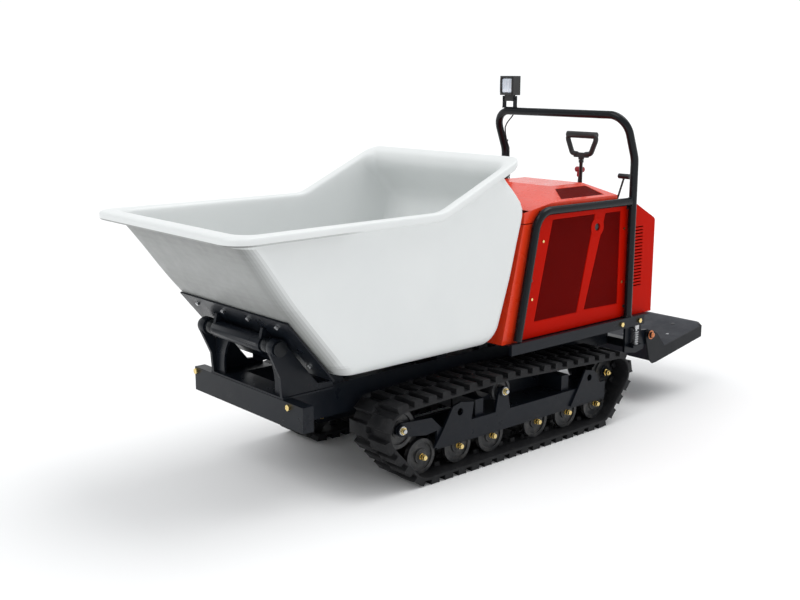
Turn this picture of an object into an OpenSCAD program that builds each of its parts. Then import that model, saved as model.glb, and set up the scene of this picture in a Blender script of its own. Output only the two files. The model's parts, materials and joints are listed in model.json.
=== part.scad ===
// Rubber-tracked power wheelbarrow: a forward-tipping plastic tub on a steel chassis,
// with an engine under a steel hood, a folding operator step and a lever console.
// +X points to the tub end, +Y to the operator's left when facing the tub, +Z up.
// The ground is z = 0 and the origin lies at the middle of the footprint.

/* [Tub] */
// Height of the tub's front rim above the ground
tub_rim_z = 1124; // [1080:1:1180]
// Height of the tub's rear rim above the ground
tub_back_z = 1312; // [1280:1:1360]
// Half of the tub's width at the front rim
tub_front_half = 528; // [500:1:540]
// Half of the tub's width at the rear rim
tub_back_half = 487; // [480:1:495]
// Thickness of the tub's wall
tub_wall = 10; // [6:1:14]

/* [Tracks] */
// Width of each rubber track
track_w = 230; // [230:1:234]
// Distance from the centre plane to the middle of each track
track_y = 360; // [360:1:361]
// Thickness of the belt without its lugs
belt_t = 13; // [10:1:14]
// Height of the outer lugs above the belt
lug_h = 22; // [16:1:22]
// Number of links in one belt
links = 43; // [36:1:48]

/* [Hood] */
// Half of the hood's width
hood_half = 398; // [390:1:398]
// Height of the hood's flat top
hood_top_z = 1138; // [1120:1:1150]

/* [Handrail] */
// Radius of the handrail's tube
rail_r = 19; // [14:0.5:20]
// Height of the handrail's top bar
rail_top_z = 1466; // [1440:1:1480]

/* [Levers] */
// Width of the travel lever's loop handle
loop_w = 224; // [200:1:230]
// Height of the top of the loop handle
loop_top_z = 1368; // [1350:1:1375]

/* [Hidden] */
$fn = 48;

// Running gear: centres are [x, z] and radii are of the belt's inner face
idler_at = [697, 256];
sprocket_at = [-648, 240];
carrier_at = [106, 304];
wheel_x = [576, 366, 165, -126, -335, -540];
wheel_z = 112;
idler_r = 84;
sprocket_r = 80;
carrier_r = 55;
wheel_r = wheel_z - belt_t - lug_h;
tread_gap = 0.5;
axle_r = 10;
axle_fit = 0.05;
disc_in = 42;
disc_out = 62;
// End of the drive motor's shaft, outside the sprocket
drive_end = 390;
plate_in = [262, 274];
plate_out = [424, 436];
// Height of the outer plate's lower edge by the lashing plates, and a road wheel's nut face
skirt_z = 140;
nut_y = 424;
// Gap between parts of one welded frame that are made as solids of their own
seam = 0.05;

// Ends of the tub's rim, where it bends, and how deep it is
front_x = 1515;
back_x = 90;
kink_x = 513;
rim_h = 46;

// Tub hinge and dump cylinder
hinge_at = [1162, 640];
hinge_r = 22;
slope_foot = [991, 513];
slope_deg = 50.37;
cyl_base = [100, 320];
cyl_eye = [820, 452];
cyl_len = norm(cyl_eye - cyl_base);
cyl_deg = atan2(cyl_eye[1] - cyl_base[1], cyl_eye[0] - cyl_base[0]);
cyl_pin_r = 12;
cyl_bore_r = 26;
cyl_rod_r = 20;
cyl_tube_len = 545;

// Deck, hood and console
rail_top = 432;
deck_front_x = 60;
deck_rear_x = -945;
deck_top_z = 494;
deck_rail_y = [424, 438];
deck_rail_z = [450, 500];
panel_y = [385, 397];
hood_front_x = -42;
hood_rear_x = -687;
hood_side_z = 1097;
hood_flat_half = 188;
seam_z = 1018;
sheet_t = 4;
console_z = 1040;
console_half = 395;

// Operator step
step_pivot = [-991, 372];
step_half = 400;
step_plate_t = 8;

// Handrail
post_x = -778;
post_y = 419;
post_bend_z = 1262;
top_bar_x = -700;

// ---------------------------------------------------------------- helpers

module y_rod(r, y0, y1, at) {
    translate([at[0], y0, at[1]]) rotate([-90, 0, 0]) cylinder(r = r, h = y1 - y0);
}

module y_hex(r, y0, y1, at) {
    translate([at[0], y0, at[1]]) rotate([-90, 0, 0]) cylinder(r = r, h = y1 - y0, $fn = 6);
}

module x_hex(r, x0, x1, y, z) {
    translate([x0, y, z]) rotate([0, 90, 0]) cylinder(r = r, h = x1 - x0, $fn = 6);
}

// A flat plate whose outline is drawn in the XZ plane, from y0 to y1
module plate_xz(outline, y0, y1) {
    translate([0, y1, 0]) rotate([90, 0, 0]) linear_extrude(y1 - y0) polygon(outline);
}

module plate_yz(outline, x0, x1) {
    translate([x0, 0, 0]) rotate([90, 0, 90]) linear_extrude(x1 - x0) polygon(outline);
}

module block(low, high) {
    translate(low) cube(high - low);
}

module both_sides() {
    children();
    mirror([0, 1, 0]) children();
}

module on_side(side) {
    if (side > 0) children();
    else mirror([0, 1, 0]) children();
}

function unit(v) = v / norm(v);

// Points of a route with its corners rounded to radius r
function arc_corner(a, b, c, r, steps) =
    let (u = unit(a - b), v = unit(c - b), open = acos(u * v),
         reach = r / tan(open / 2), mid = b + unit(u + v) * (r / sin(open / 2)),
         p = b + u * reach - mid, q = b + v * reach - mid, turn = 180 - open)
    [for (k = [0:steps]) let (t = k / steps)
        mid + (sin((1 - t) * turn) * p + sin(t * turn) * q) / sin(turn)];

function rounded_route(pts, radii, steps) = concat([pts[0]],
    [for (i = [1:len(pts) - 2])
        each arc_corner(pts[i - 1], pts[i], pts[i + 1], radii[i - 1], steps)],
    [pts[len(pts) - 1]]);

// A round bar swept along a route; side_ref is a direction the route never follows
module swept_bar(route, r, side_ref, sides = 16) {
    last = len(route) - 1;
    rings = [for (i = [0:last])
        let (t = unit(route[min(i + 1, last)] - route[max(i - 1, 0)]),
             m = unit(cross(side_ref, t)), n = unit(cross(t, m)))
        each [for (k = [0:sides - 1])
            route[i] + r * (cos(360 * k / sides) * m + sin(360 * k / sides) * n)]];
    walls = [for (i = [0:last - 1]) for (k = [0:sides - 1])
        let (a = i * sides + k, b = i * sides + (k + 1) % sides)
        [a, a + sides, b + sides, b]];
    ends = [[for (k = [0:sides - 1]) k],
            [for (k = [sides - 1:-1:0]) last * sides + k]];
    polyhedron(points = rings, faces = concat(walls, ends), convexity = 6);
}

// ---------------------------------------------------------------- chassis

module main_rail(side) {
    color("#1b1d1f") on_side(side) difference() {
        block([-900, 160, 300], [1098, 210, rail_top]);
        block([-901, 168, 310], [1099, 202, rail_top - 10]);
    }
}

module main_rail_left() {
    main_rail(1);
}

module main_rail_right() {
    main_rail(-1);
}

module cross_members() {
    color("#1b1d1f") {
        // beams that carry the track frames
        for (x = [232, -330])
            block([x - 24, -262, 218], [x + 24, 262, 288]);
        for (x = [232, -330])
            both_sides() block([x - 40, 160, 288], [x + 40, 210, 300]);
        // ties between the main rails
        for (x = [-858, -560, 1040])
            block([x - 25, -160, 310], [x + 25, 160, 390]);
        // foot of the dump cylinder
        block([14, -160, 300], [54, 160, 390]);
        both_sides() difference() {
            plate_xz([[54, 300], [100, 288], [128, 302], [128, 338], [100, 352], [54, 372]], 30, 42);
            y_rod(cyl_pin_r + 0.2, 20, 50, cyl_base);
        }
        y_rod(cyl_pin_r, -50, 50, cyl_base);
        // rests under the tub's cradle
        for (x = [260, 840])
            both_sides() block([x - 30, 165, rail_top], [x + 30, 205, 473]);
    }
}

module hinge_uprights() {
    boss_r = 36;
    foot_z = rail_top + 8;
    color("#1b1d1f") block([1040, -160 + seam, rail_top], [1146, 160 - seam, foot_z]);
    color("#1b1d1f") both_sides() {
        block([900, 160, rail_top], [1146, 262, foot_z]);
        difference() {
            union() {
                plate_xz([[900, foot_z], [1146, foot_z], [1152, 520], [1196, 618], [1197, 646],
                          [1134, 661], [978, 468], [900, 460]], 240, 256);
                y_rod(boss_r, 228, 268, hinge_at);
            }
            y_rod(hinge_r + 0.2, 220, 275, hinge_at);
        }
        // front gusset with the curved edge of the arch
        difference() {
            block([1118, 110, foot_z], [1130, 240, 599]);
            translate([1110, 0, 470]) rotate([0, 90, 0]) cylinder(r = 184, h = 30, $fn = 96);
        }
    }
}

module bumper_beam() {
    color("#1b1d1f") {
        difference() {
            block([1098, -392, 329], [1148, 392, 432]);
            block([1097, -386, 335], [1142, 386, 426]);
        }
    }
}

module hinge_pin() {
    color("#7c8084") {
        y_rod(hinge_r, -280, 280, hinge_at);
        both_sides() {
            y_rod(hinge_r + 8, 176, 224, hinge_at);
            y_rod(hinge_r + 8, 271, 280, hinge_at);
        }
    }
}

module engine_deck() {
    color("#202325") {
        block([deck_rear_x, -424, deck_top_z - 6], [deck_front_x, 424, deck_top_z]);
        both_sides() block([-889, deck_rail_y[0] + seam, deck_rail_z[0]],
                           [deck_front_x, deck_rail_y[1], deck_rail_z[1]]);
        // short posts that carry the deck on the main rails
        for (x = [-840, -420, 0])
            both_sides() block([x - 30, 165, rail_top],
                               [x + 30, 205, deck_top_z - 6 - seam]);
    }
}

// ---------------------------------------------------------------- tracks

// Wheels that the belt runs round, anticlockwise seen from -Y: [x, z, radius]
loop = [[idler_at[0], idler_at[1], idler_r], [carrier_at[0], carrier_at[1], carrier_r],
        [sprocket_at[0], sprocket_at[1], sprocket_r], [wheel_x[5], wheel_z, wheel_r],
        [wheel_x[0], wheel_z, wheel_r]];
loop_n = len(loop);

function hub(i) = [loop[i % loop_n][0], loop[i % loop_n][1]];
function hub_r(i) = loop[i % loop_n][2];
// Direction from wheel i to the belt's straight run that leaves it
function leave_deg(i) =
    let (d = hub(i + 1) - hub(i))
    atan2(d[1], d[0]) - acos((hub_r(i) - hub_r(i + 1)) / norm(d));
function arrive_deg(i) = leave_deg(i + loop_n - 1);
function wrap_deg(i) = (leave_deg(i) - arrive_deg(i) + 720) % 360;
function arc_len(i) = hub_r(i) * wrap_deg(i) * PI / 180;
function run_len(i) =
    let (d = norm(hub(i + 1) - hub(i)), f = hub_r(i) - hub_r(i + 1))
    sqrt(d * d - f * f);
function polar(deg) = [cos(deg), sin(deg)];
function total_len(i = 0) = i == loop_n ? 0 : arc_len(i) + run_len(i) + total_len(i + 1);
belt_len = total_len();

// Point at distance s along the belt's inner face, h outside it
function belt_point(s, h, i = 0) =
    s <= arc_len(i)
        ? hub(i) + (hub_r(i) + h) * polar(arrive_deg(i) + s / hub_r(i) * 180 / PI)
        : s <= arc_len(i) + run_len(i)
            ? hub(i) + (hub_r(i) + h) * polar(leave_deg(i))
                + (s - arc_len(i)) * polar(leave_deg(i) + 90)
            : belt_point(s - arc_len(i) - run_len(i), h, (i + 1) % loop_n);

// Smooth outline at height h outside the belt's inner face
function belt_outline(h) = [for (i = [0:loop_n - 1])
    let (n = ceil(wrap_deg(i) / 9))
    each [for (k = [0:n])
        hub(i) + (hub_r(i) + h) * polar(arrive_deg(i) + wrap_deg(i) * k / n)]];

// Outline with one tooth for each link: profile lists [share of the pitch, height]
function toothed_outline(profile, shift) = [for (k = [0:links - 1])
    each [for (p = profile)
        belt_point(((k + shift + p[0]) % links) * belt_len / links, p[1])]];

module belt_slab(outer, inner, y0, y1) {
    points = concat(outer, inner);
    translate([0, y1, 0]) rotate([90, 0, 0]) linear_extrude(y1 - y0)
        polygon(points, paths = [[for (i = [0:len(outer) - 1]) i],
                                 [for (i = [0:len(inner) - 1]) len(outer) + i]]);
}

module track_belt(side) {
    lug = [[0, belt_t + 1], [0.05, belt_t + lug_h], [0.29, belt_t + lug_h],
           [0.53, belt_t + lug_h], [0.58, belt_t + 1], [0.72, belt_t + 1], [0.86, belt_t + 1]];
    guide = [[0, 4], [0.08, -18], [0.32, -18], [0.4, 4], [0.6, 4], [0.8, 4]];
    half = track_w / 2;
    color("#2b2b2d") on_side(side) {
        belt_slab(belt_outline(belt_t), belt_outline(0), track_y - half, track_y + half);
        belt_slab(toothed_outline(lug, 0), belt_outline(belt_t / 2),
                  track_y - half + 3, track_y - 12);
        belt_slab(toothed_outline(lug, 0.5), belt_outline(belt_t / 2),
                  track_y + 12, track_y + half - 3);
        for (y = [track_y - 38, track_y + 22])
            belt_slab(belt_outline(belt_t / 2), toothed_outline(guide, 0), y, y + 16);
    }
}

module track_belt_left() {
    track_belt(1);
}

module track_belt_right() {
    track_belt(-1);
}

module tie_down_plate(outline, hole, y0, y1) {
    difference() {
        plate_xz(outline, y0, y1);
        y_rod(16, y0 - 1, y1 + 1, hole);
    }
}

module bogie_bar(x0, x1, y0, y1) {
    low = wheel_z - 28;
    high = wheel_z + 40;
    plate_xz([[x0 - 30, low + 12], [x0 - 18, low], [x1 + 18, low], [x1 + 30, low + 12],
              [x1 + 24, high], [x0 - 24, high]], y0, y1);
}

// What the inner and the outer side plate have in common
module frame_beam(y0, y1, bracket_foot) {
    plate_xz([[500, 127], [500, 215], [-600, 215], [-600, 127]], y0, y1);
    // carrier roller bracket
    plate_xz([[60, bracket_foot], [78, 300], [88, 322], [124, 322], [134, 300],
              [152, bracket_foot]], y0, y1);
    // idler yoke
    plate_xz([[470, 214], [530, 272], [697, 284], [723, 270], [723, 242], [697, 226],
              [560, 204]], y0, y1);
}

module frame_holes(y0, y1) {
    y_rod(axle_r + 0.2, y0 - 1, y1 + 1, idler_at);
    y_rod(axle_r + 0.2, y0 - 1, y1 + 1, carrier_at);
}

module inner_plate() {
    y0 = plate_in[0];
    y1 = plate_in[1];
    difference() {
        union() {
            frame_beam(y0, y1, 214);
            plate_xz([[-330, 214], [-300, 325], [60, 338], [90, 214]], y0, y1);
            // arm that carries the drive motor
            plate_xz([[-560, 214], [-590, 270], [-648, 282], [-685, 256], [-685, 224],
                      [-648, 198], [-590, 176], [-560, 176]], y0, y1);
            bogie_bar(wheel_x[1], wheel_x[0], y0, y1);
            bogie_bar(wheel_x[5], wheel_x[4], y0, y1);
            for (x = [wheel_x[2], wheel_x[3]])
                plate_xz([[x - 34, wheel_z + 40], [x - 24, wheel_z - 22], [x + 24, wheel_z - 22],
                          [x + 34, wheel_z + 40]], y0, y1);
        }
        y_rod(30, y0 - 1, y1 + 1, sprocket_at);
        for (x = wheel_x) y_rod(axle_r + 0.2, y0 - 1, y1 + 1, [x, wheel_z]);
        frame_holes(y0, y1);
    }
}

module outer_plate() {
    face = plate_out[1];
    difference() {
        frame_beam(plate_out[0], face, 215 + seam);
        frame_holes(plate_out[0], face);
    }
    // bosses under the axle bolts
    for (at = [idler_at, carrier_at])
        difference() {
            y_rod(23, face, face + 10, at);
            y_rod(axle_r + 0.2, face - 1, face + 11, at);
        }
    // lashing plates with their hook holes
    tie_down_plate([[524, skirt_z], [472, 210], [418, 299], [372, 310], [296, 296],
                    [310, 213], [286, skirt_z]], [376, 268], face + seam, face + seam + 10);
    tie_down_plate([[-340, skirt_z], [-386, 209], [-440, 298], [-508, 284], [-586, 160],
                    [-586, skirt_z]], [-470, 256], face + seam, face + seam + 10);
}

module track_frame(side) {
    color("#1b1d1f") on_side(side) {
        inner_plate();
        outer_plate();
        // web between the two side plates
        block([-548, plate_in[1] + seam, 196], [470, plate_out[0] - seam, 212]);
        // ends of the cross beams inside the frame
        for (x = [232, -330])
            block([x - 24, plate_in[1] + seam, 212 + seam], [x + 24, 415, 288]);
    }
}

module track_frame_left() {
    track_frame(1);
}

module track_frame_right() {
    track_frame(-1);
}

module wheel_axles() {
    head_y = plate_out[1] + 10;
    color("#c9b26a") both_sides() {
        for (x = wheel_x) {
            y_rod(axle_r, plate_in[0] - 6, nut_y + 26, [x, wheel_z]);
            y_rod(13.5, nut_y, nut_y + 4, [x, wheel_z]);
            y_hex(13, nut_y + 4, nut_y + 17, [x, wheel_z]);
        }
        for (at = [idler_at, carrier_at]) {
            y_rod(axle_r, plate_in[0] - 6, head_y, at);
            y_hex(15, head_y, head_y + 10, at);
        }
    }
}

module drive_motors() {
    color("#2a2d30") both_sides() {
        y_rod(62, 214, 262, sprocket_at);
        y_rod(20, 262, drive_end, sprocket_at);
        block([-640, 214, 290], [-604, 231, 324]);
        y_rod(30, drive_end, drive_end + 5, sprocket_at);
        y_hex(17, drive_end + 5, drive_end + 14, sprocket_at);
    }
}

// A wheel of two discs on one hub, which ends at hub_end under the axle's nut
module twin_wheel(at, r, hub_radius, side, hub_end = plate_out[0] - 2) {
    face = track_y + disc_out;
    on_side(side) difference() {
        union() {
            for (y = [track_y - disc_out, track_y + disc_in])
                y_rod(r, y, y + disc_out - disc_in, at);
            y_rod(hub_radius, track_y - disc_out, face, at);
            y_rod(22, plate_in[1] + 2, hub_end, at);
        }
        // dished outer face
        difference() {
            y_rod(r * 0.78, face - 7, face + 1, at);
            y_rod(r * 0.42, face - 8, hub_end > face ? face + 2 : hub_end, at);
        }
        if (hub_end < face) y_rod(r * 0.5, hub_end, face + 1, at);
        y_rod(axle_r + axle_fit, plate_in[1], plate_out[0], at);
    }
}

module sprocket(side) {
    teeth = 11;
    tip_r = sprocket_r - 1;
    color("#3a3c3e") on_side(side) difference() {
        union() {
            y_rod(tip_r, track_y - 18, track_y + 18, sprocket_at);
            y_rod(56, track_y - 50, track_y + 26, sprocket_at);
            y_rod(32, plate_in[1] + 2, drive_end - 0.3, sprocket_at);
        }
        for (k = [0:teeth - 1])
            let (a = 360 * k / teeth)
            y_rod(11, track_y - 20, track_y + 20,
                  sprocket_at + (tip_r + 2) * polar(a));
        y_rod(20 + axle_fit, 270, 430, sprocket_at);
    }
}

module sprocket_left() {
    sprocket(1);
}

module sprocket_right() {
    sprocket(-1);
}

module idler_left() {
    color("#303234") twin_wheel(idler_at, idler_r - tread_gap, 56, 1);
}

module idler_right() {
    color("#303234") twin_wheel(idler_at, idler_r - tread_gap, 56, -1);
}

module carrier_left() {
    color("#303234") twin_wheel(carrier_at, carrier_r - tread_gap, 32, 1);
}

module carrier_right() {
    color("#303234") twin_wheel(carrier_at, carrier_r - tread_gap, 32, -1);
}

module road_wheel(n, side) {
    color("#303234") twin_wheel([wheel_x[n - 1], wheel_z], wheel_r - tread_gap, 36,
                                side, nut_y - 0.3);
}

// ---------------------------------------------------------------- tub

// Two mirrored rounded corners of the tub: half is the outside half width there
module tub_corner(x, half, z, r, inset, h = 0) {
    both_sides() translate([x, half - r, z])
        if (h > 0) cylinder(r = r - inset, h = h, $fn = 32);
        else sphere(r = r - inset, $fn = 32);
}

// Hollow shape of the tub's front part; inset is 0 outside and the wall inside
module tub_front(inset) {
    reach = inset > 0 ? 80 : 30;
    foot_z = slope_foot[1] + 60;
    hull() {
        tub_corner(963, 430, foot_z, 60, inset);
        tub_corner(kink_x, 430, foot_z, 60, inset);
        tub_corner(1400, tub_front_half - 44, tub_rim_z - 44, 60, inset, reach);
        tub_corner(kink_x, tub_back_half - 42, tub_rim_z - 44, 60, inset, reach);
    }
}

module tub_back(inset) {
    foot_z = slope_foot[1] + 60;
    hull() {
        tub_corner(156, 430, foot_z, 60, inset);
        tub_corner(kink_x, 430, foot_z, 60, inset);
        tub_corner(43, tub_back_half - 42, 1078, 60, inset);
        tub_corner(165, tub_back_half - 45, tub_back_z - 112, 40, inset, 50);
        tub_corner(kink_x, tub_back_half - 42, tub_rim_z - 44, 60, inset, inset > 0 ? 80 : 30);
    }
}

// Outline of a rim slab that ends in two rounded corners at x_end
function rim_outline(x_start, half_start, x_end, half_end, r) =
    let (way = sign(x_end - x_start), cx = x_end - way * r, cy = half_end - r,
         arc = [for (k = [0:8]) [cx + way * r * sin(90 * k / 8), cy + r * cos(90 * k / 8)]])
    concat([[x_start, half_start]], arc, [for (k = [8:-1:0]) [arc[k][0], -arc[k][1]]],
           [[x_start, -half_start]]);

module rim_slabs() {
    rise = atan2(tub_back_z - tub_rim_z, kink_x - back_x);
    slope_len = norm([tub_back_z - tub_rim_z, kink_x - back_x]);
    kink_half = tub_back_half + 3;
    translate([0, 0, tub_rim_z - rim_h]) linear_extrude(rim_h)
        polygon(rim_outline(kink_x - 6, kink_half, front_x, tub_front_half, 75));
    translate([kink_x, 0, tub_rim_z]) rotate([0, rise, 0]) translate([0, 0, -rim_h])
        linear_extrude(rim_h)
            polygon(rim_outline(20, kink_half, -slope_len, tub_back_half, 75));
}

module tub_shell() {
    color("#e9ebea") difference() {
        union() {
            tub_front(0);
            tub_back(0);
            rim_slabs();
        }
        tub_front(tub_wall);
        tub_back(tub_wall);
        // straight-sided mouth inside the raised rear rim
        translate([0, 0, tub_back_z - 87]) linear_extrude(120)
            polygon(rim_outline(400, tub_back_half - 51, 125 + tub_wall,
                                tub_back_half - 45 - tub_wall, 30));
    }
}

// Frame of the sloping front wall: X runs up the slope and Z points out of it
module on_slope() {
    translate([slope_foot[0], 0, slope_foot[1]]) rotate([0, -slope_deg, 0]) children();
}

module tub_cradle() {
    ear = [157, 173];
    color("#1b1d1f") difference() {
        union() {
            on_slope() block([-4, -384, -8.5], [331, 384, -0.5]);
            both_sides() plate_xz([[1046, 572], [1100, 605], [1150, 605], [1196, 636],
                                   [1196, 646], [1180, 672], [1172, 706], [1150, 702]],
                                  ear[0], ear[1]);
            y_rod(34, -ear[1], ear[1], hinge_at);
            // rails and ties under the floor
            both_sides() block([190, 150, 474], [985, 190, 512]);
            for (x = [200, 900])
                block([x, -150, 474], [x + 40, 150, 512]);
            // cheeks round the cylinder's eye
            both_sides() block([770, 30, 425], [940, 38, 512]);
        }
        y_rod(hinge_r + axle_fit, -200, 200, hinge_at);
    }
}

module tub_bolts() {
    color("#8d9194") on_slope()
        for (x = [60, 290]) for (y = [-284, -90, 90, 284])
            translate([x, y, -17]) cylinder(r = 10, h = 8.5, $fn = 6);
}

// Frame of the dump cylinder: X runs from the foot pin to the rod's eye
module on_cylinder() {
    translate([cyl_base[0], 0, cyl_base[1]]) rotate([0, -cyl_deg, 0]) children();
}

module x_tube(r, x0, x1) {
    translate([x0, 0, 0]) rotate([0, 90, 0]) cylinder(r = r, h = x1 - x0);
}

module cylinder_barrel() {
    color("#26292b") on_cylinder() difference() {
        union() {
            y_rod(27, -26, 26, [0, 0]);
            x_tube(20, 10, 46);
            x_tube(36, 44, cyl_tube_len);
            x_tube(41, cyl_tube_len, cyl_tube_len + 28);
        }
        y_rod(cyl_pin_r + axle_fit, -40, 40, [0, 0]);
        x_tube(cyl_bore_r, 56, cyl_tube_len);
        x_tube(cyl_rod_r + axle_fit, cyl_tube_len - 1, cyl_tube_len + 40);
    }
}

module cylinder_rod() {
    color("#c8cccf") on_cylinder() {
        x_tube(cyl_rod_r, 110, cyl_len - 20);
        x_tube(cyl_bore_r - axle_fit, 84, 112);
        y_rod(24, -24, 24, [cyl_len, 0]);
        y_rod(cyl_pin_r, -28, 28, [cyl_len, 0]);
    }
}

// ---------------------------------------------------------------- hood and console

// Solid outside of the hood, grown or shrunk by g
module hood_solid(g) {
    intersection() {
        plate_xz([[hood_front_x + g, seam_z - g], [hood_front_x - 2 + g, 1066 + g],
                  [-469, hood_top_z + 3 + g], [hood_rear_x - g, hood_top_z + g],
                  [hood_rear_x - g, 1066 - g], [-138, 1066 - g], [-128, seam_z - g]],
                 -hood_half - g, hood_half + g);
        plate_yz([[-hood_half - g, 900], [-hood_half - g, hood_side_z + g],
                  [-hood_flat_half, hood_top_z + g], [hood_flat_half, hood_top_z + g],
                  [hood_half + g, hood_side_z + g], [hood_half + g, 900]],
                 hood_rear_x - 20, hood_front_x + 20);
    }
}

module engine_hood() {
    rise = atan2(hood_top_z - hood_side_z, hood_half - hood_flat_half);
    color("#d8341c") {
        difference() {
            hood_solid(0);
            intersection() {
                hood_solid(-sheet_t);
                block([-900, -500, 900], [0, 500, 1200]);
            }
            // open underside
            block([hood_rear_x + sheet_t, -hood_half + sheet_t, seam_z - 10],
                  [hood_front_x - sheet_t, hood_half - sheet_t, 1072]);
            // recess of the grille in each sloping flank
            both_sides() intersection() {
                translate([0, 0, 1080]) linear_extrude(80)
                    polygon([[-317, 368], [-433, 230], [-657, 227], [-621, 371]]);
                translate([-800, hood_half, hood_side_z - 2]) rotate([-rise, 0, 0])
                    block([0, -300, 0], [700, 0, 60]);
            }
        }
        // hinge knuckles
        both_sides() difference() {
            union() {
                y_rod(8, 150, 210, [hood_rear_x - 10, 1066]);
                block([hood_rear_x - 10, 150, 1062], [hood_rear_x + 6, 210, 1070]);
            }
            y_rod(4 + axle_fit, 140, 220, [hood_rear_x - 10, 1066]);
        }
    }
}

module front_cowl() {
    foot = deck_top_z;
    top = seam_z - 4;
    color("#c5301b") {
        difference() {
            plate_xz([[82, foot], [hood_front_x, top], [-128, top], [-20, foot]],
                     -panel_y[1], panel_y[1]);
            plate_xz([[78, foot - 2], [hood_front_x - 5, top + 2], [-150, top + 2],
                      [-50, foot - 2]], -panel_y[1] + sheet_t, panel_y[1] - sheet_t);
        }
        // flanges that the side panels are screwed to
        both_sides() plate_xz([[-16, foot], [-124, top], [-160, top], [-52, foot]],
                              panel_y[0] - sheet_t, panel_y[0]);
        both_sides() plate_xz([[-10, foot], [-118, top], [-128, top], [-20, foot]],
                              panel_y[0] - sheet_t, panel_y[1]);
    }
}

module side_panel(side) {
    t = panel_y[1] - panel_y[0];
    foot = deck_top_z + 4;
    color("#b32a18") on_side(side) difference() {
        plate_xz([[-22, foot], [-142, 1058], [-800, 1058], [-800, foot]],
                 panel_y[0], panel_y[1]);
        plate_xz([[-234, 1022], [-528, 1022], [-418, 568], [-124, 568]],
                 panel_y[1] - 3, panel_y[1] + 1);
        plate_xz([[-605, 1020], [-717, 1020], [-719, 567], [-469, 573]],
                 panel_y[1] - 3, panel_y[1] + 1);
        y_rod(18, panel_y[0] - 1, panel_y[0] + t + 1, [-548, 958]);
    }
}

module side_panel_left() {
    side_panel(1);
}

module side_panel_right() {
    side_panel(-1);
}

// Two cheeks that carry a lever's pivot under the console's sloping top
module lever_cheeks(at, inner, outer) {
    slope = 0.54;
    under = 1036 + slope * (at[0] + 842);
    for (y = [inner - 6, outer])
        difference() {
            plate_xz([[at[0] - 18, at[1] - 16], [at[0] + 18, at[1] - 16],
                      [at[0] + 24, under + slope * 24 + 1], [at[0] - 24, under - slope * 24 + 1]],
                     y, y + 6);
            y_rod(6.2, y - 1, y + 7, at);
        }
}

module rear_console() {
    foot = deck_top_z;
    knuckle = [hood_rear_x - 10, 1066];
    color("#c22d19") difference() {
        union() {
            plate_xz([[-804, foot], [-804, 1042], [-843, 1042], [-984, 966], [-995, 954],
                      [-995, foot]], -console_half, console_half);
            block([-810, -panel_y[0], foot], [-704, panel_y[0], console_z]);
        }
        block([-800, 4 - panel_y[0], foot - 5], [-708, panel_y[0] - 4, console_z - sheet_t]);
        plate_xz([[-799, foot - 5], [-799, 1036], [-842, 1036], [-980, 962], [-991, 950],
                  [-991, foot - 5]], -console_half + sheet_t, console_half - sheet_t);
        // slots for the levers
        block([-938, -13, 950], [-846, 13, 1060]);
        block([-965, -66, 950], [-893, -38, 1060]);
        block([-930, 216, 950], [-812, 242, 1060]);
        // louvres in both flanks
        both_sides() for (k = [0:18])
            block([-902, console_half - 10, 637 + 16 * k], [-834, console_half + 1, 643 + 16 * k]);
    }
    color("#2a2d30") {
        lever_cheeks(travel_pivot, -22, 22);
        lever_cheeks(dump_pivot, -70, -40);
        lever_cheeks(parking_pivot, 216, 242);
        // hinge pin of the hood with its brackets
        both_sides() {
            y_rod(4, 130, 230, knuckle);
            for (y = [134, 218])
                block([knuckle[0] - 16, y, console_z - 1], [knuckle[0] + 5, y + 8, 1072]);
        }
    }
}

module engine_block() {
    color("#4a4d50") {
        block([-520, -130, 530], [-240, 130, 740]);
        block([-470, -90, 740], [-290, 90, 860]);
        for (k = [0:5])
            block([-480 + 34 * k, -110, 860], [-468 + 34 * k, 110, 900]);
        block([-460, -80, 855], [-300, 80, 865]);
        // flywheel housing and feet
        translate([-240, 0, 640]) rotate([0, 90, 0]) cylinder(r = 120, h = 60);
        for (x = [-500, -290]) both_sides()
            block([x, 90, deck_top_z], [x + 40, 130, 531]);
    }
}

module muffler() {
    color("#8b8680") {
        translate([-560, 180, 800]) rotate([0, 90, 0]) cylinder(r = 62, h = 260);
        translate([-430, 90, 800]) rotate([-90, 0, 0]) cylinder(r = 18, h = 40);
    }
}

module fuel_tank() {
    color("#2b2d2f") {
        block([-240, 170, 530], [-110, 370, 740]);
        translate([-176, 270, 740]) cylinder(r = 32, h = 26);
        block([-236, 174, deck_top_z], [-114, 366, 531]);
    }
}

module hydraulic_tank() {
    color("#33363a") {
        block([-240, -370, 530], [-110, -170, 760]);
        translate([-176, -270, 760]) cylinder(r = 26, h = 24);
        block([-236, -366, deck_top_z], [-114, -174, 531]);
    }
}

module hydraulic_pump() {
    color("#5a5e62") {
        translate([-180, 0, 640]) rotate([0, 90, 0]) cylinder(r = 58, h = 60);
        block([-120, -50, 590], [-70, 50, 690]);
    }
}

// ---------------------------------------------------------------- handrail, lamp

hoop_route = rounded_route(
    [[post_x, post_y, deck_rail_z[1]], [post_x, post_y, post_bend_z], [top_bar_x, post_y, rail_top_z],
     [top_bar_x, -post_y, rail_top_z], [post_x, -post_y, post_bend_z],
     [post_x, -post_y, deck_rail_z[1]]],
    [120, 95, 95, 120], 6);

module handrail_hoop() {
    color("#1d1f21") {
        swept_bar(hoop_route, rail_r, [1, 0.02, -0.36], 20);
        both_sides() block([post_x - 26, 398, deck_top_z],
                           [post_x + 26, 423.5, deck_rail_z[1] + 1]);
    }
}

module side_guards() {
    route = rounded_route(
        [[post_x + rail_r - 5, post_y, 1062], [-112, post_y, 1067],
         [4, post_y, deck_rail_z[1] + 5]], [95], 6);
    color("#1d1f21") both_sides() swept_bar(route, rail_r, [0, 1, 0], 20);
}

lamp_y = -320;
lamp_z = 1592;
lamp_pivot = [top_bar_x, 1528];

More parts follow.
